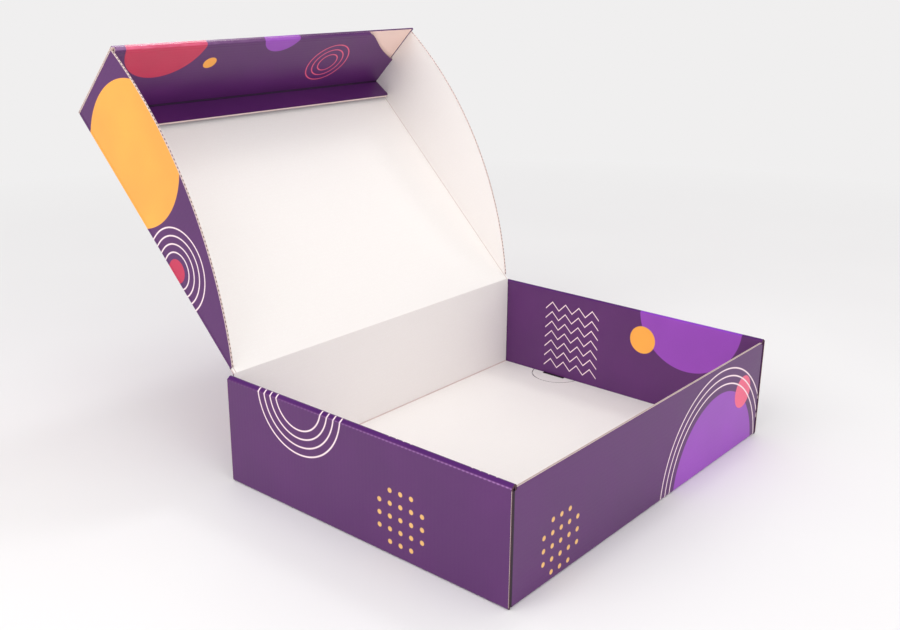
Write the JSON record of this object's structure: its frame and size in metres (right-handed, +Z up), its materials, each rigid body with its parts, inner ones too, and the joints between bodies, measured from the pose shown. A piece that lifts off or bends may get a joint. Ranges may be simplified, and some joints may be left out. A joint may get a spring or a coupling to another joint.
{
  "type": "presentation box",
  "caption": "Roll-end mailer folded from printed corrugated board: tray with rolled double side walls, hinged lid with curved side flaps and a rolled tuck-in front flap.",
  "frame": {"origin": "middle of the underside of the tray's base", "axes": "+Z up, -Y to the front where the lid tucks in, +X to the right seen from the front; the lid stands open over the back"},
  "size_m": [0.328, 0.4167, 0.3002],
  "materials": {
    "printed_board": "satin printed liner on fine-flute corrugated board",
    "plain_liner": "matte white liner, the unprinted inside of the same board"
  },
  "bodies": {
    "tray": {"tray": "printed_board"},
    "lid": {"lid_panel": "plain_liner"},
    "front_flap": {"lid_front_flap": "printed_board"},
    "side_flap_left": {"lid_side_flap_left": "plain_liner"},
    "side_flap_right": {"lid_side_flap_right": "plain_liner"}
  },
  "joints": [
    {"name": "lid_hinge", "type": "hinge", "parent": "tray", "child": "lid", "pos_m": [0, 0.12425, 0.08205], "axis": [-1, 0, 0], "range_deg": [-135, 45]},
    {"name": "front_flap_fold", "type": "hinge", "parent": "lid", "child": "front_flap", "pos_m": [0, 0.29092, 0.24872], "axis": [-1, 0, 0], "range_deg": [0, 90]},
    {"name": "left_flap_fold", "type": "hinge", "parent": "lid", "child": "side_flap_left", "pos_m": [-0.15795, 0.12425, 0.08205], "axis": [0, -0.7071, -0.7071], "range_deg": [0, 90]},
    {"name": "right_flap_fold", "type": "hinge", "parent": "lid", "child": "side_flap_right", "pos_m": [0.15795, 0.12425, 0.08205], "axis": [0, 0.7071, 0.7071], "range_deg": [0, 90]}
  ]
}
